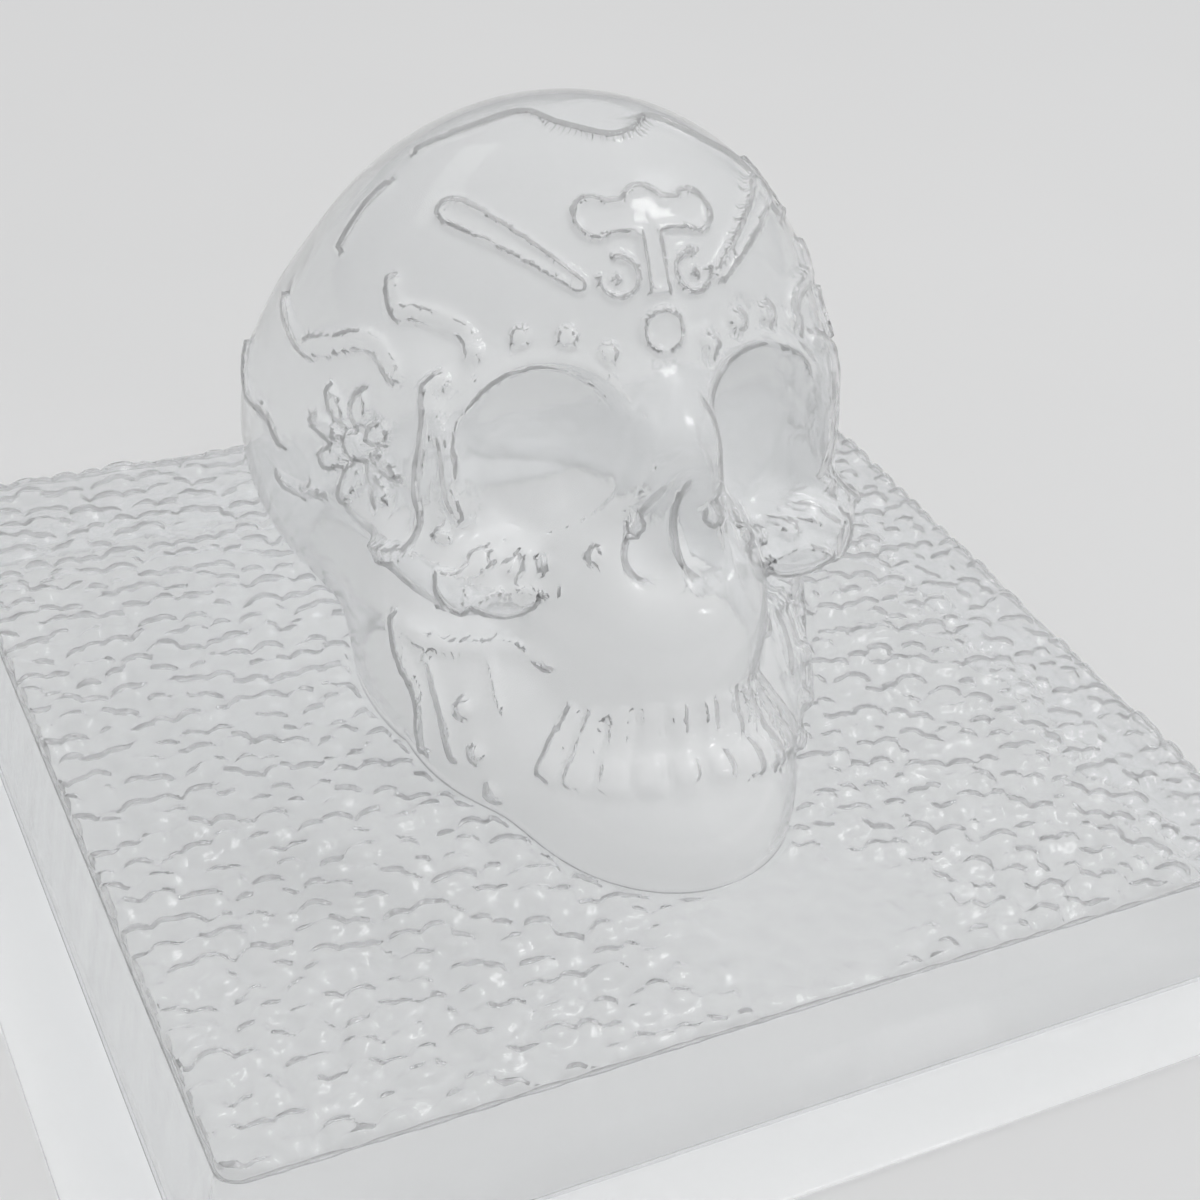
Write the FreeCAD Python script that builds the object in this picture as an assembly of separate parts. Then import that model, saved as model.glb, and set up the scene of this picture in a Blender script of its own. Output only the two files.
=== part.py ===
# Sugar skull mould: one clear sheet, drawn hot over a skull pattern on a square tray.
# The tray stands on its outward flange, and its deck carries a hollow skull that is
# open underneath, where the sugar paste is packed in. All sizes are millimetres.
# Row frame: origin under the middle of the tray on the table, +Z up, the face towards -Y.
# Skull frame: origin on the deck, x to the skull's left, y to its back, z up.
import FreeCAD
import Part
import math
import os

Vector = FreeCAD.Vector

# Sheet and tray
SHEET = 1.0
DECK_WIDTH = 200.0
DECK_DEPTH = 190.0
TRAY_HEIGHT = 24.0
WALL_DRAFT = 3.0
FLANGE_WIDTH = 15.0
DECK_CORNER_RADIUS = 4.0
FLANGE_CORNER_RADIUS = 7.0

# Place of the skull on the deck
SKULL_TURN = -5.0
SKULL_SHIFT_X = 1.0
SKULL_SHIFT_Y = 0.0

# Face plane: it leans back from the vertical and holds the front relief
FACE_LEAN = 30.0
GLABELLA_Y = -24.0
GLABELLA_Z = 70.0

# Lobes of the skull: centre, half sizes, tilt about x of the second and third half size
VAULT = ((0, 30, 44), (52.5, 66, 50), 58)
OCCIPUT = ((0, 42, 32), (53.5, 40, 48), 0)
BROW = ((0, -6, 69), (36, 22, 13), 0)
NOSE_BRIDGE = ((0, -24, 56), (12, 11, 22), -30)
MUZZLE = ((0, -22, 31), (23, 29.5, 27), 0)
CHIN = ((0, -38, 4), (26, 29, 22), 0)
ORBIT_SIDE = ((33, -8, 58), (6, 12, 20), 30)
CHEEKBONE = ((29, -18, 41), (13, 14, 8), 0)
CHEEK_ARCH = ((37, 0, 42), (8, 24, 5), 0)
JAW_SIDE = ((20, -12, 6), (19, 30, 24), 0)
JAW_ANGLE = ((34, 4, 14), (9, 20, 24), 0)
THROAT = ((0, -4, 12), (27, 36, 25), 0)

# Hollows of the face, in the face plane: across, up, out
SOCKET_CENTRE = (20.5, -5)
SOCKET_MOUTH = (16.8, 16.2)
SOCKET_REACH = 12.0
SOCKET_BEND = (0.84, -8.0)
SOCKET_FLOOR = (0.45, -15.0)
SOCKET_SIDES = 20
NOSE_HOLE_TOP = -7.5
NOSE_HOLE_BOTTOM = -29.0
NOSE_HOLE_LOBE = 5.2
NOSE_HOLE_SPREAD = 4.4
NOSE_HOLE_DEPTH = 7.0
NOSE_HOLE_SIDES = 7

# Where one formed region of the sheet gives way to the next
FACE_BACK_Y = 3.0
BITE_Y = -51.4
BITE_Z = 21.6
JAW_BACK_Y = 25.0
FLOWER_MARGIN = 1.6
NOSE_HALF = 11.8
NOSE_LOW = -31.0

# Teeth: two rows around the dental arch, whose centre lies behind the bite
ARCH_Y = -27.0
TEETH_PER_ROW = 10
TOOTH_PITCH = 4.9
TOOTH_GAP = 0.7
UPPER_TOOTH_HEIGHT = 7.2
LOWER_TOOTH_HEIGHT = 8.4
UPPER_TOOTH_SEAT = 0.47
LOWER_TOOTH_SEAT = -0.53
TOOTH_RELIEF = 1.5
TOOTH_ROUNDING = 1.1
TOOTH_TOP = (0.8, 0.86)

# Beads: rings around the eyes in degrees, and rows along the jaw in the skull frame
BEAD_RADIUS = 1.8
BEAD_RELIEF = 1.5
BEAD_SIDES = 6
BEAD_TOP = 0.55
BROW_BEAD_RING = 18.2
CHEEK_BEAD_RING = 18.8
BROW_BEADS = (44, 65, 86, 107, 128)
CHEEK_BEADS = (-39, -57, -75, -93, -112, -135)
JAW_BEADS = ((33, -29, 17), (31.5, -34, 11), (29.5, -38, 5))

# Forehead relief, in the face plane: cloud discs and teardrop as across, up, radius
RELIEF = 1.1
CLOUD = ((-8.2, 32.2, 4.0), (0.5, 33.0, 4.4), (9.2, 32.2, 4.0))
CLOUD_FOOT = 29.4
STEM_TOP_HALF = 2.4
STEM_FOOT_HALF = 4.2
STEM_FOOT = 18.4
TEARDROP = (0.5, 14.0, 3.7)
SCROLL = (5.6, 24.6, 4.4)
SCROLL_END = (7.6, 20.6, 2.1)
SCROLL_STROKE = 1.5
SCROLL_FROM = 60.0
SCROLL_TO = 285.0
SCROLL_SIDES = 7
DISC_SIDES = 9
LEAF_SIDES = 3
LEAF_CENTRE = (21.5, 28.6)
LEAF_LENGTH = 25.0
LEAF_WIDTH = 6.4
LEAF_RISE = 42.0
LEAF_POINT_GROWTH = 6.0
FOREHEAD_HALF = 36.5
FOREHEAD_LOW = 8.5
FOREHEAD_HIGH = 41.5

# Temple flower, seen from the side: back, up
FLOWER_CENTRE = (1.0, 54.0)
FLOWER_PETALS = 8
FLOWER_HEART = 2.7
PETAL_LENGTH = 8.6
PETAL_WIDTH = 4.4
PETAL_REACH = 7.4

# How the form is drawn: level sections around an axis that leans from foot to crown
AXIS_FOOT_Y = 2.0
FRONT_SIDES = 26
BACK_SIDES = 8
BANDS = 16
CROWN_FLAT = 0.4
BLEND = 14.0
SEAT_STEP = 0.5
STUD_ROOT = 3.0

FAR = 400.0


def rounded_rectangle(width, depth, radius, z):
    """Closed wire of a rectangle with round corners, lying level at z."""
    x, y = width / 2 - radius, depth / 2 - radius
    corners = [(x, y, 0), (-x, y, 90), (-x, -y, 180), (x, -y, 270)]
    edges = []
    for number, (cx, cy, start) in enumerate(corners):
        on_arc = [Vector(cx + radius * math.cos(math.radians(start + turn)),
                         cy + radius * math.sin(math.radians(start + turn)), z)
                  for turn in (0, 45, 90)]
        edges.append(Part.Arc(*on_arc).toShape())
        nx, ny, after = corners[(number + 1) % 4]
        following = Vector(nx + radius * math.cos(math.radians(after)),
                           ny + radius * math.sin(math.radians(after)), z)
        edges.append(Part.LineSegment(on_arc[2], following).toShape())
    return Part.Wire(edges)


def level_plate(width, depth, radius, low, high):
    """Plate with round corners between two heights."""
    return Part.Face(rounded_rectangle(width, depth, radius, low)).extrude(Vector(0, 0, high - low))


def tray_flange():
    """Flat lip around the tray's foot, which rests on the table."""
    foot_width = DECK_WIDTH + 2 * WALL_DRAFT
    foot_depth = DECK_DEPTH + 2 * WALL_DRAFT
    lip = level_plate(foot_width + 2 * FLANGE_WIDTH, foot_depth + 2 * FLANGE_WIDTH,
                      FLANGE_CORNER_RADIUS, 0, SHEET)
    opening = level_plate(foot_width - 2 * SHEET, foot_depth - 2 * SHEET,
                          DECK_CORNER_RADIUS - SHEET, 0, SHEET)
    return lip.cut(opening)


def tray_wall():
    """Drafted wall from the lip up to the underside of the deck."""
    low, high = SHEET, TRAY_HEIGHT - SHEET
    outside = Part.makeLoft([
        rounded_rectangle(DECK_WIDTH + 2 * WALL_DRAFT, DECK_DEPTH + 2 * WALL_DRAFT,
                          DECK_CORNER_RADIUS, low),
        rounded_rectangle(DECK_WIDTH, DECK_DEPTH, DECK_CORNER_RADIUS, high)], True, True)
    inside = Part.makeLoft([
        rounded_rectangle(DECK_WIDTH + 2 * WALL_DRAFT - 2 * SHEET,
                          DECK_DEPTH + 2 * WALL_DRAFT - 2 * SHEET,
                          DECK_CORNER_RADIUS - SHEET, low),
        rounded_rectangle(DECK_WIDTH - 2 * SHEET, DECK_DEPTH - 2 * SHEET,
                          DECK_CORNER_RADIUS - SHEET, high)], True, True)
    return outside.cut(inside)


def lobe_rows(lobe, grow=0, side=1):
    """Centre, half sizes and tilt of a lobe whose half sizes are grown by the same amount."""
    (cx, cy, cz), half, tilt = lobe
    return (side * cx, cy, cz), [size + grow for size in half], math.radians(tilt)


def along_lobe(vector, half, tilt):
    """A vector in a lobe's own tilted frame, in units of its half sizes."""
    x, y, z = vector
    return (x / half[0],
            (y * math.cos(tilt) - z * math.sin(tilt)) / half[1],
            (y * math.sin(tilt) + z * math.cos(tilt)) / half[2])


def reach(lobe, start, aim):
    """How far a ray runs from its start until it leaves the lobe, or 0 if it misses."""
    centre, half, tilt = lobe
    offset = along_lobe([s - c for s, c in zip(start, centre)], half, tilt)
    step = along_lobe(aim, half, tilt)
    square = sum(v * v for v in step)
    across = sum(p * v for p, v in zip(offset, step))
    under_root = across ** 2 - square * (sum(p * p for p in offset) - 1)
    if under_root <= 0:
        return 0.0
    return max(0.0, (math.sqrt(under_root) - across) / square)


def crown(grow):
    """Back position and height of the vault's highest point."""
    (_, cy, cz), (_, b, c), tilt = lobe_rows(VAULT, grow)
    lift = math.hypot(b * math.sin(tilt), c * math.cos(tilt))
    lean = (c * c - b * b) * math.sin(tilt) * math.cos(tilt)
    return cy + lean / lift, cz + lift


def all_lobes(grow):
    """Every lobe of the skull, the paired ones on both sides."""
    single = (VAULT, OCCIPUT, BROW, NOSE_BRIDGE, MUZZLE, CHIN, THROAT)
    paired = (ORBIT_SIDE, CHEEKBONE, CHEEK_ARCH, JAW_SIDE, JAW_ANGLE)
    lobes = [lobe_rows(lobe, grow) for lobe in single]
    return lobes + [lobe_rows(lobe, grow, side) for lobe in paired for side in (-1, 1)]


def axis_point(z, grow):
    """Point of the leaning axis at one height."""
    crown_y, crown_z = crown(grow)
    return Vector(0, AXIS_FOOT_Y + (crown_y - AXIS_FOOT_Y) * z / crown_z, z)


def skin_length(start, aim, lobes):
    """How far the form reaches from its axis, soft where its lobes meet."""
    lengths = [reach(lobe, start, aim) for lobe in lobes]
    return sum(value ** BLEND for value in lengths) ** (1 / BLEND)


def level_points(z, grow):
    """Points of the form's outline at one height, closer together over the face."""
    lobes, start = all_lobes(grow), axis_point(z, grow)
    turns = [math.pi * (k / FRONT_SIDES - 0.5) for k in range(FRONT_SIDES)]
    turns += [math.pi * (k / BACK_SIDES + 0.5) for k in range(BACK_SIDES)]
    aims = [Vector(math.sin(turn), -math.cos(turn), 0) for turn in turns]
    return [start + aim * skin_length(start, aim, lobes) for aim in aims]


def flat_face(*corners):
    """Flat face through corners given in order."""
    return Part.Face(Part.makePolygon(list(corners) + [corners[0]]))


def faceted_loft(rings):
    """Closed solid through rings of as many points each, alike on the left and the right."""
    faces = [flat_face(*rings[0]), flat_face(*rings[-1])]
    for low, high in zip(rings, rings[1:]):
        for k in range(len(low)):
            following = (k + 1) % len(low)
            a, b, c, d = low[k], low[following], high[following], high[k]
            if a.x + b.x < 0:
                faces += [flat_face(a, b, c), flat_face(a, c, d)]
            else:
                faces += [flat_face(a, b, d), flat_face(b, c, d)]
    return Part.makeSolid(Part.makeShell(faces))


def plain_form(grow):
    """The skull without hollows or relief, moved outwards by grow."""
    top = crown(grow)[1]
    levels = [top * math.sin(math.radians(90.0 * k / BANDS)) for k in range(BANDS)]
    return faceted_loft([level_points(z, grow) for z in levels + [top - CROWN_FLAT]])


def face_point(across, up, out=0.0):
    """Point of the skull frame for a place given in the leaning face plane."""
    lean = math.radians(FACE_LEAN)
    return Vector(across,
                  GLABELLA_Y + up * math.sin(lean) - out * math.cos(lean),
                  GLABELLA_Z + up * math.cos(lean) + out * math.sin(lean))


def to_face_plane(shape):
    """Stand a flat drawing in the face plane: its x runs across, y up and z out."""
    placed = shape.copy()
    placed.rotate(Vector(0, 0, 0), Vector(1, 0, 0), 90 - FACE_LEAN)
    placed.translate(face_point(0, 0))
    return placed


def to_temple(shape, side):
    """Stand a flat drawing against the skull's side: its x runs back, y up and z out."""
    placed = shape.copy()
    placed.rotate(Vector(0, 0, 0), Vector(1, 0, 0), 90)
    placed.rotate(Vector(0, 0, 0), Vector(0, 0, 1), 90)
    if side < 0:
        placed = placed.mirror(Vector(0, 0, 0), Vector(1, 0, 0))
    placed.translate(Vector(0, *FLOWER_CENTRE))
    return placed


def skin_point(start, aim, lobes):
    """Where a line from outside first meets the form, found by steps and then by halving."""
    def is_inside(point):
        base = axis_point(point.z, 0)
        spoke = point - base
        return spoke.Length < skin_length(base, spoke / spoke.Length, lobes)

    far = 0.0
    while not is_inside(start + aim * far):
        far += SEAT_STEP
    near = far - SEAT_STEP
    while far - near > SEAT_STEP / 100:
        middle = (near + far) / 2
        if is_inside(start + aim * middle):
            far = middle
        else:
            near = middle
    return start + aim * far


class Seat:
    """Spot on the form with its outward, level and upward directions."""

    def __init__(self, start, aim, lobes):
        level = Vector(0, 0, 1).cross(aim * -1).normalize()
        rise = (aim * -1).cross(level)
        self.spot = skin_point(start, aim, lobes)
        beside = skin_point(start + level * SEAT_STEP, aim, lobes) - self.spot
        above = skin_point(start + rise * SEAT_STEP, aim, lobes) - self.spot
        self.out = beside.cross(above).normalize()
        self.across = Vector(0, 0, 1).cross(self.out).normalize()
        self.up = self.out.cross(self.across)

    def ring(self, corners, height):
        """Corners drawn on the form's tangent plane, lifted by a height."""
        return [self.spot + self.across * x + self.up * y + self.out * height for x, y in corners]


def stud(seat, base, top, height, grow):
    """Small raised block on the form, from a base outline to a smaller top outline."""
    return faceted_loft([seat.ring(base, grow - STUD_ROOT), seat.ring(top, height + grow)])


def rounded_block(width, height, rounding):
    """Corners of a rectangle whose corners are cut off."""
    x, y = width / 2, height / 2
    quarter = ((x - rounding, y), (x, y - rounding))
    corners = []
    for across, up in ((1, -1), (1, 1), (-1, 1), (-1, -1)):
        pair = [(across * a, up * b) for a, b in quarter]
        corners += pair if across * up < 0 else pair[::-1]
    return corners


def polygon(sides, radius):
    """Corners of a regular polygon."""
    turns = [2 * math.pi * k / sides for k in range(sides)]
    return [(radius * math.cos(turn), radius * math.sin(turn)) for turn in turns]


def tooth_row(upper, grow, lobes):
    """One row of teeth around the dental arch, standing over or under the bite."""
    height = UPPER_TOOTH_HEIGHT if upper else LOWER_TOOTH_HEIGHT
    wide, tall = TOOTH_PITCH - TOOTH_GAP + 2 * grow, height - TOOTH_GAP + 2 * grow
    rounding = TOOTH_ROUNDING + grow / 2
    base = rounded_block(wide, tall, rounding)
    top = [(x * TOOTH_TOP[0], y * TOOTH_TOP[1]) for x, y in base]
    arch_radius = ARCH_Y - BITE_Y
    teeth = []
    for k in range(TEETH_PER_ROW):
        turn = (k - (TEETH_PER_ROW - 1) / 2) * TOOTH_PITCH / arch_radius
        aim = Vector(-math.sin(turn), math.cos(turn), 0)
        level = BITE_Z + height * (UPPER_TOOTH_SEAT if upper else LOWER_TOOTH_SEAT)
        start = Vector(0, ARCH_Y, level) - aim * FAR / 4
        teeth.append(stud(Seat(start, aim, lobes), base, top, TOOTH_RELIEF, grow))
    return teeth


def beads(grow, lobes):
    """Beads around the eyes and along the jaw."""
    across, up = SOCKET_CENTRE
    aim = face_point(0, 0, -1) - face_point(0, 0, 0)
    starts = []
    for ring, turns in ((BROW_BEAD_RING, BROW_BEADS), (CHEEK_BEAD_RING, CHEEK_BEADS)):
        for turn in turns:
            x = across + ring * math.cos(math.radians(turn))
            y = up + ring * math.sin(math.radians(turn))
            starts.append((face_point(x, y, FAR / 4), aim))
    for x, y, z in JAW_BEADS:
        spoke = (axis_point(z, 0) - Vector(x, y, z)).normalize()
        starts.append((Vector(x, y, z) - spoke * FAR / 8, spoke))
    base = polygon(BEAD_SIDES, BEAD_RADIUS + grow)
    top = [(x * BEAD_TOP, y * BEAD_TOP) for x, y in base]
    studs = []
    for start, inward in starts:
        for side in (-1, 1):
            seat = Seat(Vector(side * start.x, start.y, start.z),
                        Vector(side * inward.x, inward.y, inward.z), lobes)
            studs.append(stud(seat, base, top, BEAD_RELIEF, grow))
    return studs


def disc(x, y, radius):
    """Flat round face in many short sides."""
    return flat_face(*[Vector(x + a, y + b, 0) for a, b in polygon(DISC_SIDES, radius)])


def leaf(length, width):
    """Flat face of a pointed leaf along x, between two arcs."""
    radius = (length ** 2 + width ** 2) / (4 * width)
    half_turn = math.asin(length / 2 / radius)
    turns = [half_turn * (2.0 * k / LEAF_SIDES - 1) for k in range(LEAF_SIDES)]
    upper = [Vector(radius * math.sin(turn), radius * math.cos(turn) - radius + width / 2, 0)
             for turn in turns]
    return flat_face(*upper, *[point * -1 for point in upper])


def prisms(faces):
    """Flat faces joined where they overlap and drawn out to tall prisms."""
    joined = faces[0].fuse(faces[1:]).removeSplitter() if len(faces) > 1 else faces[0]
    return joined.extrude(Vector(0, 0, FAR / 4))


def forehead_prisms(grow):
    """Cloud, stem, scrolls, teardrop and leaves of the forehead, as prisms."""
    faces = [disc(x, y, radius + grow) for x, y, radius in CLOUD + (TEARDROP,)]
    left, right, top = CLOUD[0][0], CLOUD[-1][0], CLOUD[0][1]
    foot = CLOUD_FOOT - grow
    faces.append(flat_face(Vector(left, foot, 0), Vector(right, foot, 0),
                           Vector(right, top, 0), Vector(left, top, 0)))
    middle = TEARDROP[0]
    faces.append(flat_face(*[Vector(middle + x, y, 0) for x, y in (
        (-STEM_FOOT_HALF - grow, STEM_FOOT - grow), (STEM_FOOT_HALF + grow, STEM_FOOT - grow),
        (STEM_TOP_HALF + grow, top), (-STEM_TOP_HALF - grow, top))]))
    for side in (-1, 1):
        blade = leaf(LEAF_LENGTH + LEAF_POINT_GROWTH * grow, LEAF_WIDTH + 2 * grow)
        blade.rotate(Vector(0, 0, 0), Vector(0, 0, 1), LEAF_RISE if side > 0 else 180 - LEAF_RISE)
        blade.translate(Vector(side * LEAF_CENTRE[0], LEAF_CENTRE[1], 0))
        x, y, radius = SCROLL_END
        faces += [blade, disc(middle + side * x, y, radius + grow)]
        if grow == 0:
            faces.append(scroll(middle, side))
    return to_face_plane(prisms(faces))


def scroll(middle, side):
    """Thin flat hook that turns out of the stem towards its rolled end."""
    x, y, radius = SCROLL
    corners = []
    there = range(SCROLL_SIDES + 1)
    for edge, steps in ((radius + SCROLL_STROKE / 2, there),
                        (radius - SCROLL_STROKE / 2, reversed(there))):
        for step in steps:
            turn = math.radians(SCROLL_FROM + (SCROLL_TO - SCROLL_FROM) * step / SCROLL_SIDES)
            corners.append(Vector(middle + side * (x + edge * math.cos(turn)),
                                  y + edge * math.sin(turn), 0))
    return flat_face(*corners)


def flower_prisms(side, grow):
    """Heart and petals of a temple flower, as prisms."""
    faces = [disc(0, 0, FLOWER_HEART + grow)]
    for k in range(FLOWER_PETALS):
        petal = leaf(PETAL_LENGTH + 2 * grow, PETAL_WIDTH + 2 * grow)
        petal.translate(Vector(PETAL_REACH, 0, 0))
        petal.rotate(Vector(0, 0, 0), Vector(0, 0, 1), 360.0 * k / FLOWER_PETALS)
        faces.append(petal)
    return to_temple(prisms(faces), side)


def nose_outline(grow):
    """Flat upside-down heart: a point on top and two round lobes below."""
    lobe = NOSE_HOLE_LOBE + grow
    low = NOSE_HOLE_BOTTOM + NOSE_HOLE_LOBE
    top = Vector(0, NOSE_HOLE_TOP + 2 * grow, 0)
    # Each lobe runs from the tangent through the top point round to the middle
    away = math.hypot(NOSE_HOLE_SPREAD, top.y - low)
    first = math.atan2(top.y - low, -NOSE_HOLE_SPREAD) - math.acos(lobe / away)
    last = -math.pi / 2 - math.asin(NOSE_HOLE_SPREAD / lobe)
    turns = [first + (last - first) * k / NOSE_HOLE_SIDES for k in range(NOSE_HOLE_SIDES + 1)]
    right = [Vector(NOSE_HOLE_SPREAD + lobe * math.cos(turn), low + lobe * math.sin(turn), 0)
             for turn in turns]
    left = [Vector(-point.x, point.y, 0) for point in reversed(right[:-1])]
    return flat_face(top, *right, *left)


def nose_prism(grow, depth):
    """The nose outline from a depth behind the face plane to well before it."""
    prism = nose_outline(grow).extrude(Vector(0, 0, FAR / 4))
    prism.translate(Vector(0, 0, -depth))
    return to_face_plane(prism)


def socket_hole(side, grow):
    """Oval bowl of an eye socket, from before the face plane to its small flat floor."""
    across, up = SOCKET_CENTRE
    wide, tall = SOCKET_MOUTH
    rings = []
    for share, out in (SOCKET_FLOOR, SOCKET_BEND, (1.0, SOCKET_REACH)):
        scale = share + grow / wide
        rings.append([face_point(side * across + x * wide * scale, up + y * tall * scale,
                                 out - grow * (out < SOCKET_REACH))
                      for x, y in polygon(SOCKET_SIDES, 1.0)])
    return faceted_loft(rings)


def oval_region(side):
    """Space of one eye socket: as wide as its mouth and a little deeper than its floor."""
    across, up = SOCKET_CENTRE
    wide, tall = SOCKET_MOUTH
    depth = SOCKET_FLOOR[1] - 2 * SHEET
    corners = [Vector(side * across + x * wide, up + y * tall, depth)
               for x, y in polygon(SOCKET_SIDES, 1.0)]
    return to_face_plane(flat_face(*corners).extrude(Vector(0, 0, FAR / 4)))


def bite_block(low, high):
    """Space between two heights over the bite, in front of the jaw's back."""
    return Part.makeBox(FAR, FAR, high - low, Vector(-FAR / 2, JAW_BACK_Y - FAR, BITE_Z + low))


def teeth_region(low, high):
    """Space of one row of teeth: a wedge that opens forwards from inside the dental arch."""
    half_turn = TEETH_PER_ROW / 2 * TOOTH_PITCH / (ARCH_Y - BITE_Y)
    x, y = FAR / 4 * math.sin(half_turn), ARCH_Y - FAR / 4 * math.cos(half_turn)
    wedge = flat_face(Vector(0, ARCH_Y, BITE_Z + low), Vector(-x, y, BITE_Z + low),
                      Vector(x, y, BITE_Z + low))
    return wedge.extrude(Vector(0, 0, high - low))


def nose_region():
    """Space of the nose: its bridge between the eyes and the hollow below."""
    block = Part.makeBox(2 * NOSE_HALF, FOREHEAD_LOW - NOSE_LOW, FAR / 4,
                         Vector(-NOSE_HALF, NOSE_LOW, -FAR / 8))
    return to_face_plane(block)


def face_region():
    """Space of the face: under the brow line, over the bite and before the temples."""
    block = Part.makeBox(FAR, FAR, FAR, Vector(-FAR / 2, FOREHEAD_LOW - FAR, -FAR / 2))
    front = Part.makeBox(FAR, FAR, FAR, Vector(-FAR / 2, FACE_BACK_Y - FAR, -FAR / 2))
    return to_face_plane(block).common(front).cut(bite_block(-FAR, 0))


def forehead_region():
    """Space of the forehead relief: a band across the face plane."""
    band = Part.makeBox(2 * FOREHEAD_HALF, FOREHEAD_HIGH - FOREHEAD_LOW, FAR / 4,
                        Vector(-FOREHEAD_HALF, FOREHEAD_LOW, -FAR / 8))
    return to_face_plane(band)


def flower_region(side):
    """Space of one temple flower: a disc seen from the side."""
    radius = PETAL_REACH + PETAL_LENGTH / 2 + FLOWER_MARGIN
    return to_temple(disc(0, 0, radius).extrude(Vector(0, 0, FAR / 4)), side)


def skull_form(grow):
    """The skull with its relief and hollows, moved outwards by grow."""
    lobes = all_lobes(0)
    form = plain_form(grow)
    raised = plain_form(grow + RELIEF)
    reliefs = [forehead_prisms(grow)] + [flower_prisms(side, grow) for side in (-1, 1)]
    studs = tooth_row(True, grow, lobes) + tooth_row(False, grow, lobes) + beads(grow, lobes)
    form = form.fuse([raised.common(relief) for relief in reliefs] + studs)
    hollows = [socket_hole(side, -grow) for side in (-1, 1)]
    hollows.append(nose_prism(-grow, NOSE_HOLE_DEPTH - grow))
    return form.cut(hollows)


def place(shape):
    """Carry a shape from the skull frame onto the deck."""
    placed = shape.copy()
    placed.rotate(Vector(0, 0, 0), Vector(0, 0, 1), SKULL_TURN)
    placed.translate(Vector(SKULL_SHIFT_X, SKULL_SHIFT_Y, TRAY_HEIGHT))
    return placed


def skull_nodes():
    """The skull's sheet, parted into its formed regions."""
    rest = skull_form(0).cut(skull_form(-SHEET))
    regions = {
        "eye_socket_left": oval_region(1),
        "eye_socket_right": oval_region(-1),
        "nose": nose_region(),
        "upper_teeth": teeth_region(0, UPPER_TOOTH_HEIGHT),
        "lower_teeth": teeth_region(-LOWER_TOOTH_HEIGHT, 0),
        "forehead_relief": forehead_region(),
        "temple_flower_left": flower_region(1),
        "temple_flower_right": flower_region(-1),
        "skull_jaw": bite_block(-FAR, 0),
        "skull_face": face_region(),
    }
    nodes = {}
    for name, region in regions.items():
        nodes[name] = rest.common(region)
        rest = rest.cut(region)
    nodes["skull_vault"] = rest
    return {name: place(shape) for name, shape in nodes.items()}


def tray_deck():
    """Top of the tray, open under the skull."""
    plate = level_plate(DECK_WIDTH, DECK_DEPTH, DECK_CORNER_RADIUS, TRAY_HEIGHT - SHEET, TRAY_HEIGHT)
    opening = flat_face(*level_points(0, -SHEET)).extrude(Vector(0, 0, -SHEET))
    return plate.cut(place(opening))


def main():
    """Build every region of the sheet and write one file for each."""
    os.makedirs("parts", exist_ok=True)
    nodes = {"tray_flange": tray_flange(), "tray_wall": tray_wall(), "tray_deck": tray_deck()}
    nodes.update(skull_nodes())
    for name, shape in nodes.items():
        shape.exportStep("parts/" + name + ".step")
        print(name, [round(solid.Volume, 1) for solid in shape.Solids], shape.isValid())


main()
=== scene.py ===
# %% [markdown]
# # Sugar skull mould
#
# The mould is one clear plastic sheet. It was drawn hot over a pattern, so everything on it is
# the same sheet: a skull on a square deck, a low wall round the deck, and a flat lip at the foot.
# Sizes are in millimetres, as the maker of the pattern would write them, and each piece is
# brought to metres when it is finished.

# %% Start
import math

import bmesh
import bpy
import numpy as np
from mathutils import Matrix, Vector


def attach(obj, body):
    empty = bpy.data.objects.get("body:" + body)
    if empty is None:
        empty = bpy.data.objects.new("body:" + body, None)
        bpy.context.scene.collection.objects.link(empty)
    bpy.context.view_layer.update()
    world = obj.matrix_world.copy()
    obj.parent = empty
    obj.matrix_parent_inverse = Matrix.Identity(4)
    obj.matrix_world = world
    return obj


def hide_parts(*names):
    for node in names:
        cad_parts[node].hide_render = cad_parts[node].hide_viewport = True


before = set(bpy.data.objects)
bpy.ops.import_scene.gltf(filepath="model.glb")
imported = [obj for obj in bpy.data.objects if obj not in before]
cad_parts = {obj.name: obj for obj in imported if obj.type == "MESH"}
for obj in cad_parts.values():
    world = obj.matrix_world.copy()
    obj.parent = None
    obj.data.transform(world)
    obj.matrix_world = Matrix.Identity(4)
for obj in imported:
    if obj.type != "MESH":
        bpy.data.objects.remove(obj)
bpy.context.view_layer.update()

MM = 0.001
SHEET = 1.0

# %% [markdown]
# ## The camera
#
# The photograph looks down on the mould from its front left corner. The straight edges of the
# deck give the camera's place, its turn and its lens, and so this comes first: every later size
# is judged from here.

# %% Camera
CAMERA_PLACE = Vector((-0.15674, -0.27993, 0.26429))
CAMERA_RIGHT = Vector((0.8929, -0.4400, 0.0956))
CAMERA_UP = Vector((0.1847, 0.5516, 0.8134))
CAMERA_BACK = Vector((-0.4107, -0.7086, 0.5738))
CAMERA_LENS = 61.95

lens = bpy.data.cameras.new("camera")
lens.lens = CAMERA_LENS
lens.sensor_width = 36.0
lens.clip_start = 0.01
camera = bpy.data.objects.new("camera", lens)
bpy.context.scene.collection.objects.link(camera)
turn = Matrix((CAMERA_RIGHT, CAMERA_UP, CAMERA_BACK)).transposed()
camera.matrix_world = Matrix.Translation(CAMERA_PLACE) @ turn.to_quaternion().to_matrix().to_4x4()
bpy.context.scene.camera = camera
print("camera at", tuple(round(value, 3) for value in camera.location))

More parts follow.
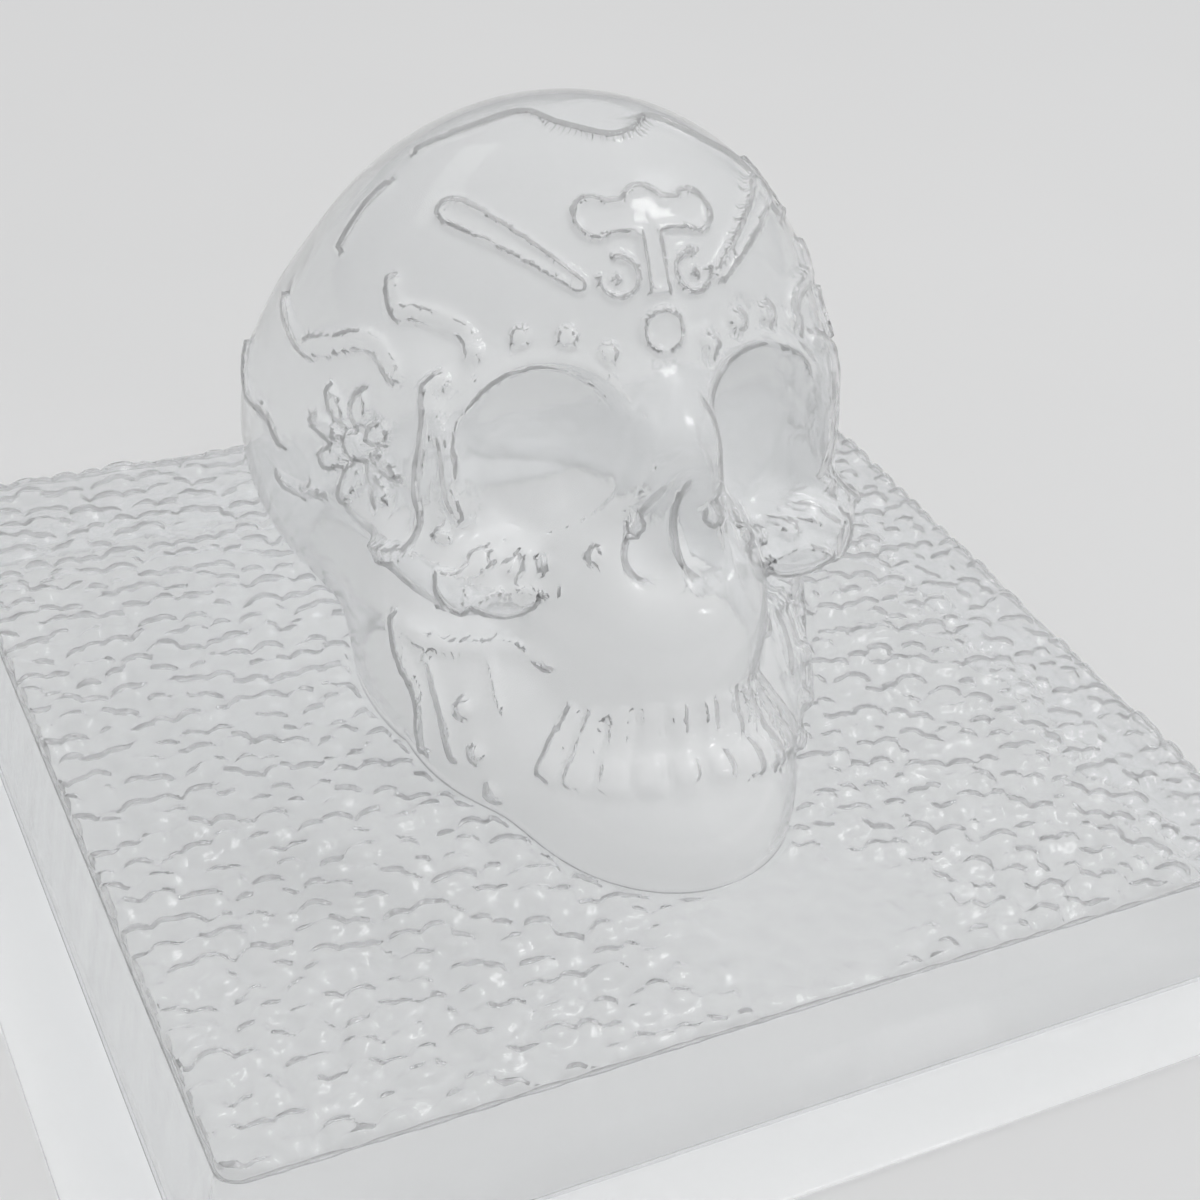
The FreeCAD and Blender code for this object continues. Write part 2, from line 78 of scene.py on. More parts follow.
# %% [markdown]
# ## The skull's form
#
# A skull is a few round masses that run into each other: the vault, the brow, the muzzle, the
# chin, the cheekbones, the jaw. Each mass is an ellipsoid here. A ray runs level from a leaning
# axis inside the head, and the skin lies where the ray leaves the last of the masses, with a
# soft blend where two of them meet. One formula then gives a smooth skin with no joins to hide,
# which suits a drawn sheet better than separate balls melted together.

# %% Masses of the skull
# Centre, half sizes, and tilt about x in degrees of the second and third half size
SINGLE_MASSES = (
    ((0, 30, 44), (52.5, 66, 50), 58),       # vault
    ((0, 42, 32), (53.5, 40, 48), 0),        # back of the head
    ((0, -6, 69), (36, 22, 13), 0),          # brow
    ((0, -24, 56), (12, 11, 22), -30),       # bridge of the nose
    ((0, -22, 31), (23, 29.5, 27), 0),       # muzzle
    ((0, -38, 4), (26, 29, 22), 0),          # chin
    ((0, -4, 12), (27, 36, 25), 0),          # throat
)
PAIRED_MASSES = (
    ((33, -8, 58), (6, 12, 20), 30),         # outer side of the eye
    ((29, -18, 41), (13, 14, 8), 0),         # cheekbone
    ((37, 0, 42), (8, 24, 5), 0),            # arch behind the cheekbone
    ((20, -12, 6), (19, 30, 24), 0),         # side of the jaw
    ((34, 4, 14), (9, 20, 24), 0),           # angle of the jaw
)
BLEND = 14
AXIS_FOOT_Y = 2.0
CROWN_FLAT = 0.4
SKULL_TURN = -5.0
SKULL_SHIFT = (1.0, 0.0)
DECK_TOP = 24.0

CROWN_MASS = SINGLE_MASSES[0]


def mass_reach(mass, side, start, aim):
    """How far rays run from their starts until they leave one mass, or 0 where they miss it."""
    centre, half, tilt = mass
    lean = math.radians(tilt)
    axes = np.array([[1, 0, 0],
                     [0, math.cos(lean), -math.sin(lean)],
                     [0, math.sin(lean), math.cos(lean)]]) / np.array(half)[:, None]
    offset = (start - np.array(centre) * (side, 1, 1)) @ axes.T
    step = aim @ axes.T
    square = (step ** 2).sum(axis=1)
    across = (offset * step).sum(axis=1)
    root = across ** 2 - square * ((offset ** 2).sum(axis=1) - 1)
    length = (np.sqrt(np.maximum(root, 0)) - across) / square
    return np.where(root > 0, np.maximum(length, 0), 0)


def skin_reach(start, aim):
    """How far the blended skin lies from the axis along each ray."""
    lengths = [mass_reach(mass, 1, start, aim) for mass in SINGLE_MASSES]
    lengths += [mass_reach(mass, side, start, aim) for mass in PAIRED_MASSES for side in (-1, 1)]
    return (np.array(lengths) ** BLEND).sum(axis=0) ** (1 / BLEND)


def crown_place():
    """Back position and height of the highest point of the vault."""
    (_, cy, cz), (_, b, c), tilt = CROWN_MASS
    lean = math.radians(tilt)
    lift = math.hypot(b * math.sin(lean), c * math.cos(lean))
    return cy + (c * c - b * b) * math.sin(lean) * math.cos(lean) / lift, cz + lift


CROWN_Y, CROWN_Z = crown_place()


def axis_at(z):
    """Points of the leaning axis at the given heights."""
    return np.stack([0 * z, AXIS_FOOT_Y + (CROWN_Y - AXIS_FOOT_Y) * z / CROWN_Z, z], axis=1)


def skin_point(turns, z):
    """Points of the skin at the given turns, 0 at the face, and heights."""
    aim = np.stack([np.sin(turns), -np.cos(turns), 0 * turns], axis=1)
    start = axis_at(z)
    return start + aim * skin_reach(start, aim)[:, None]


def depth_inside(points):
    """How deep points lie inside the skin, along their level ray from the axis."""
    spoke = points - axis_at(points[:, 2])
    length = np.maximum(np.linalg.norm(spoke, axis=1), 1e-6)
    return skin_reach(points - spoke, spoke / length[:, None]) - length


print("crown at height", round(CROWN_Z, 1), "mm, over", round(CROWN_Y, 1), "mm")

# %% [markdown]
# ## The face plane
#
# The face leans back by 30 degrees. The eye sockets, the nose and the forehead's relief are
# drawn on a flat plane with that lean, as across, up and out, the way a carver would set them
# out on paper before cutting the pattern.

# %% Face plane
FACE_LEAN = math.radians(30.0)
# Back and height of the point between the brows, where the plane's across, up and out are 0
GLABELLA = (-24.0, 70.0)
# Out values between which the skin is searched for, and how often the search is halved
SKIN_SEARCH = (-30.0, 20.0)
HALVINGS = 18
# A distance beyond the reach of every ornament
FAR = 9.0


def to_face(points):
    """Across, up and out in the face plane for points of the skull."""
    y, z = points[:, 1] - GLABELLA[0], points[:, 2] - GLABELLA[1]
    up = y * math.sin(FACE_LEAN) + z * math.cos(FACE_LEAN)
    out = -y * math.cos(FACE_LEAN) + z * math.sin(FACE_LEAN)
    return points[:, 0], up, out


def from_face(across, up, out):
    """Points of the skull for across, up and out in the face plane."""
    y = GLABELLA[0] + up * math.sin(FACE_LEAN) - out * math.cos(FACE_LEAN)
    z = GLABELLA[1] + up * math.cos(FACE_LEAN) + out * math.sin(FACE_LEAN)
    return np.stack([across + 0 * y, y, z], axis=1)


def skin_out(across, up):
    """Out value at which lines square to the face plane enter the skin, by halving."""
    low, high = (limit + 0 * across for limit in SKIN_SEARCH)
    for _ in range(HALVINGS):
        middle = (low + high) / 2
        inside = depth_inside(from_face(across, up, middle)) > 0
        low = np.where(inside, middle, low)
        high = np.where(inside, high, middle)
    return low


def smooth_step(value):
    """Soft rise from 0 to 1."""
    value = np.clip(value, 0, 1)
    return value * value * (3 - 2 * value)


def soft_minimum(a, b, blend):
    """The smaller of two values, rounded over where they cross."""
    share = np.clip(0.5 + 0.5 * (b - a) / blend, 0, 1)
    return b + (a - b) * share - blend * share * (1 - share)


print("face plane leans", round(math.degrees(FACE_LEAN)), "degrees")

# %% [markdown]
# ## Eye sockets and nose
#
# The sockets are deep oval bowls with steep sides. The skin's points inside an oval are spread
# outwards first, so that enough of them stand on the steep side, and then sunk to the bowl. The
# nose is an upside-down heart with two round lobes.

# %% Sockets and nose
SOCKET_CENTRE = (20.9, -5.0)
SOCKET_MOUTH = (14.0, 14.8)
SOCKET_FLOOR = -11.5
SOCKET_RISE = 25.0
SOCKET_SPREAD = 1.6
SOCKET_LIP = 8.0
SOCKET_BACK = SOCKET_FLOOR - 8.0
NOSE_TOP = (0.0, -7.5)
NOSE_LOBE = (4.4, -23.8)
NOSE_LOBE_RADIUS = 5.2
NOSE_DEPTH = 12.0
NOSE_SLOPE = 3.2
NOSE_BACK = -5.0


def socket_ring(points, side):
    """Distance from the socket's centre in units of its mouth, for points near the face."""
    across, up, out = to_face(points)
    x = (across - side * SOCKET_CENTRE[0]) / SOCKET_MOUTH[0]
    y = (up - SOCKET_CENTRE[1]) / SOCKET_MOUTH[1]
    ring = np.hypot(x, y)
    return np.where(out > SOCKET_BACK, ring, FAR), x, y


def sink_socket(points, side):
    """Draw the skin inside one oval back to the socket's bowl."""
    ring, x, y = socket_ring(points, side)
    chosen = ring < 1
    ring, x, y = ring[chosen], x[chosen], y[chosen]
    angle = math.pi / 2 * ring ** SOCKET_SPREAD
    spread = np.sqrt(np.sin(angle)) / np.maximum(ring, 1e-6)
    across = side * SOCKET_CENTRE[0] + SOCKET_MOUTH[0] * x * spread
    up = SOCKET_CENTRE[1] + SOCKET_MOUTH[1] * y * spread
    bowl = SOCKET_FLOOR + SOCKET_RISE * (1 - np.cos(angle))
    skin = skin_out(across, up)
    sunk = points.copy()
    sunk[chosen] = from_face(across, up, soft_minimum(skin, bowl, SOCKET_LIP))
    return sunk


def nose_inside(across, up):
    """How far points lie inside the heart outline of the nose."""
    lobe = np.array(NOSE_LOBE)
    along = lobe - np.array(NOSE_TOP)
    place = np.stack([np.abs(across), up], axis=1) - np.array(NOSE_TOP)
    share = np.clip(place @ along / (along @ along), 0, 1)
    away = np.linalg.norm(place - share[:, None] * along, axis=1)
    return NOSE_LOBE_RADIUS * share - away


def sink_nose(points):
    """Draw the skin inside the heart outline back."""
    across, up, out = to_face(points)
    drop = NOSE_DEPTH * smooth_step(nose_inside(across, up) / NOSE_SLOPE)
    return from_face(across, up, np.where(out > NOSE_BACK, out - drop, out))


print("sockets", 2 * SOCKET_MOUTH[0], "by", 2 * SOCKET_MOUTH[1], "mm, nose", NOSE_DEPTH, "mm deep")

# %% [markdown]
# ## Relief
#
# The pattern's ornament stands about a millimetre proud of the skin. The sheet is too stiff to
# follow sharp corners, so every edge is soft. Each kind of ornament is a function that gives its
# height over the skin, and where ornaments meet the higher one wins.

# %% Relief tools
RELIEF = 1.4
SOFT_EDGE = 0.9
RIM_WIDTH = 1.5
MIDDLE_DROP = 0.4


def plateau(inside, height, edge=SOFT_EDGE):
    """Height of a flat-topped ornament from how far points lie inside its outline."""
    return height * smooth_step(inside / edge + 0.5)


def rimmed(inside, height):
    """Height of an ornament with a raised rim round a lower middle."""
    return plateau(inside, height) - plateau(inside - RIM_WIDTH, height * MIDDLE_DROP)


def disc_inside(x, y, centre, radius):
    """How far points lie inside a disc."""
    return radius - np.hypot(x - centre[0], y - centre[1])


def leaf_inside(x, y, centre, length, width, rise):
    """How far points lie inside a pointed leaf between two arcs."""
    turn = math.radians(rise)
    along = (x - centre[0]) * math.cos(turn) + (y - centre[1]) * math.sin(turn)
    over = np.abs((y - centre[1]) * math.cos(turn) - (x - centre[0]) * math.sin(turn))
    radius = (length ** 2 + width ** 2) / (4 * width)
    return radius - np.hypot(along, over + radius - width / 2)


def taper_inside(x, y, start, end, start_radius, end_radius):
    """How far points lie inside a straight stroke that tapers between two round ends."""
    along = np.array(end) - np.array(start)
    place = np.stack([x, y], axis=1) - np.array(start)
    share = np.clip(place @ along / (along @ along), 0, 1)
    away = np.linalg.norm(place - share[:, None] * along, axis=1)
    return start_radius + (end_radius - start_radius) * share - away


def arc_inside(x, y, centre, radius, half_stroke, first, last):
    """How far points lie inside a curved stroke, with its turns in degrees."""
    turn = np.degrees(np.arctan2(y - centre[1], x - centre[0])) % 360
    middle, half = (first + last) / 2, (last - first) / 2
    beyond = np.abs((turn - middle + 180) % 360 - 180) > half
    ring = half_stroke - np.abs(np.hypot(x - centre[0], y - centre[1]) - radius)
    return np.where(beyond, -FAR, ring)


print("relief", RELIEF, "mm high, rims", RIM_WIDTH, "mm wide")

# %% [markdown]
# The forehead carries a cloud of three lobes on a stem, a scroll on each side of the stem, a
# teardrop under it and a long leaf on each side. Discs, bars and tapered strokes are enough for
# all of them, measured in the face plane, so that both sides come out alike.

# %% Forehead: cloud, stem, scrolls, teardrop and leaves
MIDDLE = 0.5
CLOUD = ((-8.2, 32.2, 4.0), (0.5, 33.0, 4.4), (9.2, 32.2, 4.0))
CLOUD_FOOT = 28.8
CLOUD_TOP = 35.2
STEM_TOP_HALF = 2.2
STEM_FOOT_HALF = 2.6
STEM_FOOT = 18.4
TEARDROP = (0.5, 13.0, 4.2)
SCROLL = (6.6, 22.3, 3.3)
SCROLL_TURNS = (70.0, 375.0)
SCROLL_END = (7.0, 21.9, 1.2)
SCROLL_HALF_STROKE = 0.75
LEAF_TIP = ((27.3, 35.2), 2.9)
LEAF_FOOT = ((12.6, 21.6), 1.7)
FOREHEAD_BACK = -25.0


def forehead_height(points):
    """Height of the forehead's ornament."""
    across, up, out = to_face(points)
    side = np.abs(across - MIDDLE)
    bar = np.minimum(CLOUD[2][0] - side, np.minimum(up - CLOUD_FOOT, CLOUD_TOP - up))
    share = np.clip((up - STEM_FOOT) / (CLOUD_FOOT - STEM_FOOT), 0, 1)
    stem_half = STEM_FOOT_HALF + (STEM_TOP_HALF - STEM_FOOT_HALF) * np.sqrt(share)
    stem = np.minimum(stem_half - side, np.minimum(up - STEM_FOOT, CLOUD_TOP - up))
    lobes = [disc_inside(across, up, (x, y), radius) for x, y, radius in CLOUD]
    cloud = rimmed(np.max([bar, stem] + lobes, axis=0), RELIEF)
    drop = rimmed(disc_inside(across, up, TEARDROP[:2], TEARDROP[2]), RELIEF)
    curl = arc_inside(side, up, SCROLL[:2], SCROLL[2], SCROLL_HALF_STROKE, *SCROLL_TURNS)
    hook = plateau(curl, RELIEF)
    end = plateau(disc_inside(side, up, SCROLL_END[:2], SCROLL_END[2]), RELIEF)
    blade = taper_inside(np.abs(across), up, LEAF_TIP[0], LEAF_FOOT[0], LEAF_TIP[1], LEAF_FOOT[1])
    shapes = [cloud, drop, hook, end, rimmed(blade, RELIEF)]
    return np.where(out > FOREHEAD_BACK, np.max(shapes, axis=0), 0)


print("cloud", len(CLOUD), "lobes, stem", round(CLOUD_FOOT - STEM_FOOT, 1), "mm long")

# %% [markdown]
# A flower sits on each temple, where the skull is widest. It is drawn as seen from the side, as
# back and up: pointed petals in a ring round a small heart.

# %% Temple flower
FLOWER_CENTRE = (1.0, 54.0)
FLOWER_PETALS = 8
FLOWER_HEART = 2.7
FLOWER_HEART_RELIEF = RELIEF + 0.3
FLOWER_SIDE = 30.0
PETAL_LENGTH = 8.6
PETAL_WIDTH = 4.4
PETAL_REACH = 7.4


def flower_height(points):
    """Height of the flower on each temple."""
    back, up = points[:, 1] - FLOWER_CENTRE[0], points[:, 2] - FLOWER_CENTRE[1]
    height = plateau(disc_inside(back, up, (0, 0), FLOWER_HEART), FLOWER_HEART_RELIEF)
    for number in range(FLOWER_PETALS):
        turn = 2 * math.pi * number / FLOWER_PETALS
        centre = (PETAL_REACH * math.cos(turn), PETAL_REACH * math.sin(turn))
        petal = leaf_inside(back, up, centre, PETAL_LENGTH, PETAL_WIDTH, math.degrees(turn))
        height = np.maximum(height, plateau(petal, RELIEF))
    return np.where(np.abs(points[:, 0]) > FLOWER_SIDE, height, 0)


print("flower", FLOWER_PETALS, "petals of", PETAL_LENGTH, "mm")

# %% [markdown]
# The teeth stand in two rows round the dental arch. One formula turns the way round the arch
# into a tooth's number and the place across it, so every tooth is the same soft cushion.

# %% Teeth
ARCH_Y = -27.0
ARCH_RADIUS = 24.4
TEETH_PER_ROW = 10
TOOTH_PITCH = 4.9
TOOTH_RELIEF = 1.9
TEETH_BACK = ARCH_Y + 4.0
# Middle height, half height and droop to the sides of the upper and the lower row
TOOTH_ROWS = ((26.5, 3.6, 0.0174), (20.0, 2.5, 0.0100))


def teeth_height(points):
    """Height of both rows of teeth, each tooth a cushion."""
    along = np.arctan2(points[:, 0], ARCH_Y - points[:, 1]) * ARCH_RADIUS / TOOTH_PITCH
    within = np.abs(along) < TEETH_PER_ROW / 2
    across = 2 * np.abs(along - np.floor(along) - 0.5)
    height = 0 * along
    for middle, half, droop in TOOTH_ROWS:
        rise = np.abs(points[:, 2] - middle + droop * points[:, 0] ** 2) / half
        cushion = np.clip(1 - across ** 4, 0, 1) * np.clip(1 - rise ** 3, 0, 1)
        height = np.maximum(height, TOOTH_RELIEF * cushion)
    return np.where(within & (points[:, 1] < TEETH_BACK), height, 0)


print("teeth", TEETH_PER_ROW, "in each of", len(TOOTH_ROWS), "rows")

# %% [markdown]
# Beads lie round the eyes and down the edge of the jaw. Each is a low dome round a point that is
# first moved onto the skin, so no bead hangs over it or sinks in.

# %% Beads around the eyes and along the jaw
BEAD_RADIUS = 2.4
BEAD_RELIEF = 1.7
BROW_BEAD_RING = 19.2
CHEEK_BEAD_RING = 19.2
BROW_BEADS = (44, 65, 86, 107, 128)
CHEEK_BEADS = (-39, -57, -75, -93, -112, -135)
JAW_BEADS = ((33, -29, 17), (31.5, -34, 11), (29.5, -38, 5))


def bead_places():
    """Middles of all beads on the skin."""
    rings = [(BROW_BEAD_RING, turn) for turn in BROW_BEADS]
    rings += [(CHEEK_BEAD_RING, turn) for turn in CHEEK_BEADS]
    across = np.array([SOCKET_CENTRE[0] + ring * math.cos(math.radians(t)) for ring, t in rings])
    up = np.array([SOCKET_CENTRE[1] + ring * math.sin(math.radians(t)) for ring, t in rings])
    on_face = from_face(across, up, skin_out(across, up))
    return np.concatenate([on_face, on_skin(np.array(JAW_BEADS, float))])


def on_skin(points):
    """Points moved level to the skin."""
    spoke = points - axis_at(points[:, 2])
    return skin_point(np.arctan2(spoke[:, 0], -spoke[:, 1]), points[:, 2])


def bead_height(points):
    """Height of the beads, each a low dome."""
    mirrored = points.copy()
    mirrored[:, 0] = np.abs(mirrored[:, 0])
    height = np.zeros(len(points))
    for place in bead_places():
        away = np.linalg.norm(mirrored - place, axis=1) / BEAD_RADIUS
        height = np.maximum(height, BEAD_RELIEF * np.clip(1 - away ** 3, 0, 1) ** 0.6)
    return height


print("beads", len(BROW_BEADS) + len(CHEEK_BEADS) + len(JAW_BEADS), "on each side")

# %% [markdown]
# ## Carved lines
#
# Bands and folds run over the temples, the cheeks and the jaw. Each is a short list of places on
# the skin that a smooth line joins. Its half width and its height come first.

# %% Carved lines on both sides, and the seam over the crown
SIDE_LINES = (
    (1.5, 0.9, ((34.8, -10.8, 72), (36, -14, 67), (37.5, -15, 61), (38, -15.4, 54.6),
                (37.5, -17, 50), (38.4, -18.7, 46.4), (40.3, -18, 44.5), (41, -9, 40))),
    (1.2, 0.8, ((34.6, -12.1, 71), (35, -16.3, 66), (35, -19, 61), (35, -20.5, 57),
                (33.5, -22.2, 52.6))),
    (2.1, 0.9, ((48.7, 17.3, 65), (46.2, 11, 68.3), (43.5, 6.3, 71.6), (41, 1.5, 72.6),
                (38.3, -3.8, 71))),
    (1.8, 0.9, ((38, 5.4, 82.3), (37.9, 1.5, 79), (36.6, -0.5, 79.6), (33.4, -4.4, 80.4),
                (30.2, -8.5, 80), (28.8, -10.4, 78.6))),
    (1.3, 0.8, ((48.2, 36, 65), (49.6, 28.4, 64), (49.1, 17.5, 63.5))),
    (1.3, 0.8, ((49.5, 48, 48.7), (52, 38, 44), (52.3, 27, 45.8), (51.9, 22.7, 42.6))),
    (1.4, 0.9, ((51, 23.5, 34), (50, 17.5, 35.7), (47.6, 8.7, 40.6))),
    (1.7, 0.9, ((38.1, -11.7, 23.5), (33.6, -16.4, 22.3), (30.2, -21.6, 24.6),
                (25.1, -24.7, 26.6), (22.2, -28.3, 27.6), (20.6, -34.9, 29))),
    (1.6, 0.9, ((39.5, -9.7, 23.6), (38.3, -13.1, 18.3), (37.2, -17.5, 14.9),
                (37.6, -20.4, 12), (37.6, -23, 5))),
    (1.2, 0.8, ((35.3, -16.4, 19.8), (35.7, -22.2, 16.8), (35.4, -26.4, 13.8),
                (34.7, -30.6, 8))),
    (0.9, 0.6, ((27.3, -25.4, 25.3), (27.9, -31.3, 21.1), (27.7, -33.8, 19.3))),
    (1.2, 0.8, ((41.9, 22.4, 81.2), (38.4, 23.5, 86), (33.8, 23.9, 91.1))),
)
CROWN_LINE = (0.9, 0.7, ((-27.6, 27.2, 95.7), (-19.3, 22.7, 101.3), (-11, 20.7, 104.3),
                         (-6.3, 12.3, 105.2), (0.1, 7.7, 105), (8.8, 14.7, 104.9),
                         (18.4, 11.5, 101.5), (26.4, 10.7, 96.7), (30.5, 3.6, 90.7),
                         (34.8, 8.5, 88.3)))
LINE_STEP = 0.8
LINE_STRENGTH = 1.35
LINE_EDGE = 1.3


def line_points(corners):
    """Even points of a smooth line through the corners, laid on the skin."""
    corners = np.array(corners, float)
    before, after = 2 * corners[:1] - corners[1:2], 2 * corners[-1:] - corners[-2:-1]
    padded = np.concatenate([before, corners, after])
    pieces = []
    for a, b, c, d in zip(padded, padded[1:], padded[2:], padded[3:]):
        count = max(2, int(np.linalg.norm(c - b) / LINE_STEP))
        t = (np.arange(count) / count)[:, None]
        pieces.append(0.5 * (2 * b + (c - a) * t + (2 * a - 5 * b + 4 * c - d) * t ** 2
                             + (3 * b - a - 3 * c + d) * t ** 3))
    return on_skin(np.concatenate(pieces + [corners[-1:]]))


def line_height(points, half, height, corners):
    """Height of one carved line."""
    away = np.full(len(points), FAR)
    for place in line_points(corners):
        away = np.minimum(away, np.linalg.norm(points - place, axis=1))
    return plateau(half - away, height * LINE_STRENGTH, LINE_EDGE)


def carved_height(points):
    """Height of all carved lines."""
    mirrored = points.copy()
    mirrored[:, 0] = np.abs(mirrored[:, 0])
    height = line_height(points, *CROWN_LINE)
    for half, rise, corners in SIDE_LINES:
        height = np.maximum(height, line_height(mirrored, half, rise, corners))
    return height


print("carved lines", len(SIDE_LINES), "on each side and one over the crown")

# %% [markdown]
# Three leaves lie on each cheekbone, and a low rim runs round each eye. Both use the face plane
# again. The last function here joins all ornament: at each point the highest one counts.

# %% Cheek leaves, rim round each eye, all relief
CHEEK_LEAVES = (((26.8, -29.0), 15.0, 5.2, 0.0), ((36.4, -26.4), 9.5, 4.2, 118.0),
                ((32.6, -23.2), 8.0, 2.8, 10.0))
CHEEK_BACK = -20.0
RIM_RING = 1.03
RIM_HALF = 1.3
RIM_RELIEF = 0.25


def face_height(points):
    """Height of the cheeks' leaves and the eyes' rims."""
    across, up, out = to_face(points)
    height = 0 * across
    for centre, length, width, rise in CHEEK_LEAVES:
        blade = leaf_inside(np.abs(across), up, centre, length, width, -rise)
        height = np.maximum(height, rimmed(blade, RELIEF) * (out > CHEEK_BACK))
    for side in (-1, 1):
        ring, _, _ = socket_ring(points, side)
        rim = RIM_HALF - np.abs(ring - RIM_RING) * SOCKET_MOUTH[0]
        height = np.maximum(height, plateau(rim, RIM_RELIEF))
    return height


def relief_height(points):
    """The highest ornament at each point of the skin."""
    kinds = (forehead_height, flower_height, teeth_height, bead_height, carved_height, face_height)
    return np.max([kind(points) for kind in kinds], axis=0)


print("cheek leaves", len(CHEEK_LEAVES), "on each side")

# %% [markdown]
# ## The skull
#
# Half a ball is drawn out to the skull: its rings become level lines of the skin, closer
# together over the face. Edges are divided only where there is relief to carry. The sheet's
# thickness is added inwards, since the mould's working side is the inside.

# %% Drawing out the half ball
RING_POINTS = 220
RINGS = 96
FRONT_SHARE = 0.72
# Rise along an edge past which it is divided, first pass and second
FINE_STEPS = (0.05, 0.4)
# Edges longer than this are divided too, where they lie in front of the given place
LONG_EDGE = 2.6
LONG_EDGE_FRONT = 5.0
SOFTENINGS = 12
FOOT_GAP = 0.05


def half_ball():
    """Upper half of a ball, open below."""
    ball = bmesh.new()
    bmesh.ops.create_uvsphere(ball, u_segments=RING_POINTS, v_segments=2 * RINGS, radius=1.0)
    lower = [v for v in ball.verts if v.co.z < -1e-4]
    bmesh.ops.delete(ball, geom=lower, context="VERTS")
    return ball


def coordinates(mesh):
    """All points of a mesh under construction as rows."""
    return np.array([v.co[:] for v in mesh.verts])


def draw_out(directions):
    """Skin points, with sockets and nose, for the half ball's directions."""
    share = np.arctan2(directions[:, 0], -directions[:, 1]) / math.pi
    side, share = np.sign(share), np.abs(share)
    behind = 0.5 + (share - FRONT_SHARE) / (1 - FRONT_SHARE) / 2
    turns = np.where(share < FRONT_SHARE, share / FRONT_SHARE / 2, behind)
    level = directions[:, 2] / np.linalg.norm(directions, axis=1)
    points = skin_point(side * turns * math.pi, np.clip(level, 0, 1) * (CROWN_Z - CROWN_FLAT))
    for eye in (-1, 1):
        points = sink_socket(points, eye)
    return sink_nose(points)


def divide_where_fine(ball, fine_step):
    """Divide the half ball's edges that relief or a steep hollow crosses."""
    points = draw_out(coordinates(ball))
    height = relief_height(points)
    ball.verts.index_update()
    chosen = []
    for edge in ball.edges:
        a, b = (v.index for v in edge.verts)
        length = np.linalg.norm(points[a] - points[b])
        long = length > LONG_EDGE and points[a][1] < LONG_EDGE_FRONT
        if long or abs(height[a] - height[b]) > fine_step:
            chosen.append(edge)
    bmesh.ops.subdivide_edges(ball, edges=chosen, cuts=1, use_grid_fill=True)


def to_row(points, lift=0.0):
    """Metres in the mould's own frame for points of the skull."""
    turn = math.radians(SKULL_TURN)
    x = points[:, 0] * math.cos(turn) - points[:, 1] * math.sin(turn) + SKULL_SHIFT[0]
    y = points[:, 0] * math.sin(turn) + points[:, 1] * math.cos(turn) + SKULL_SHIFT[1]
    return np.stack([x, y, points[:, 2] + DECK_TOP + lift], axis=1) * MM


def set_coordinates(mesh, points):
    """Move all points of a mesh under construction to the given rows."""
    for vertex, point in zip(mesh.verts, points):
        vertex.co = point


def finish_piece(name, mesh, material, thickness=0.0):
    """Turn a mesh under construction into a smooth piece of the mould, with its sheet's thickness."""
    data = bpy.data.meshes.new(name)
    mesh.to_mesh(data)
    mesh.free()
    data.polygons.foreach_set("use_smooth", [True] * len(data.polygons))
    piece = bpy.data.objects.new(name, data)
    bpy.context.scene.collection.objects.link(piece)
    data.materials.append(material)
    if thickness:
        wall = piece.modifiers.new("sheet", "SOLIDIFY")
        wall.thickness = thickness * MM
        wall.offset = -1.0
    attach(piece, "root")
    print(name, len(data.vertices), "points", len(data.polygons), "faces")
    return piece


def skull_mesh():
    """The skull's outer skin with all its relief."""
    ball = half_ball()
    for fine_step in FINE_STEPS:
        divide_where_fine(ball, fine_step)
    points = draw_out(coordinates(ball))
    relief = relief_height(points)
    set_coordinates(ball, points)
    inner = [v for v in ball.verts if not v.is_boundary]
    for _ in range(SOFTENINGS):
        bmesh.ops.smooth_vert(ball, verts=inner, factor=0.5, use_axis_x=True, use_axis_y=True,
                              use_axis_z=True)
    bmesh.ops.recalc_face_normals(ball, faces=ball.faces)
    ball.normal_update()
    normals = np.array([v.normal[:] for v in ball.verts])
    raised = coordinates(ball) + normals * relief[:, None]
    raised[:, 2] = np.where(points[:, 2] < 1e-6, 0, np.maximum(raised[:, 2], 0))
    set_coordinates(ball, to_row(raised, FOOT_GAP))
    return ball


# %% [markdown]
# ## Materials
#
# The sheet is clear, slightly grey and glossy. It shows by its reflections, by dark lines where
# it turns edge on, and by a faint unevenness left by the draw. Its tint is set darker on the
# deck, as painted shade, and lighter on the wall and lip, as painted light. Lamps shine through
# it, as they do through a real sheet, so shadows stay light.

# %% Clear sheet
SKULL_TINT = (0.935, 0.939, 0.941, 1.0)
# The deck's tint is darker than the skull's: painted shade on the same clear sheet.
DECK_PAINTED_SHADE_TINT = (0.840, 0.845, 0.848, 1.0)
# The wall's and lip's tint is lighter than the skull's: painted light on the same clear sheet.
WALL_PAINTED_LIGHT_TINT = (0.955, 0.959, 0.962, 1.0)
SHEET_INDEX = 1.33
SHEET_CLEARNESS = 0.80
SHADOW_TINT = (0.96, 0.962, 0.965, 1.0)
GLOSS_RANGE = (0.05, 0.13)
# Scale of each noise, and depth in metres of the unevenness it makes
SLOW_SCALE, SLOW_DEPTH = 60.0, 0.0012
FINE_SCALE, FINE_DEPTH = 900.0, 0.0002
PEBBLE_SCALE, PEBBLE_DEPTH = 210.0, 0.0015


def add_node(tree, kind, **settings):
    """Add a shader node and set its plain fields or its named input values."""
    node = tree.nodes.new(kind)
    for key, value in settings.items():
        if key in node.inputs:
            node.inputs[key].default_value = value
        else:
            setattr(node, key, value)
    return node


def noise_texture(tree, coordinates_out, scale, detail, stretch=(1, 1, 1)):
    """Soft noise in the object's own metres."""
    mapping = add_node(tree, "ShaderNodeMapping")
    mapping.inputs["Scale"].default_value = stretch
    tree.links.new(coordinates_out, mapping.inputs["Vector"])
    noise = add_node(tree, "ShaderNodeTexNoise", Scale=scale, Detail=detail, Roughness=0.5)
    tree.links.new(mapping.outputs["Vector"], noise.inputs["Vector"])
    return noise


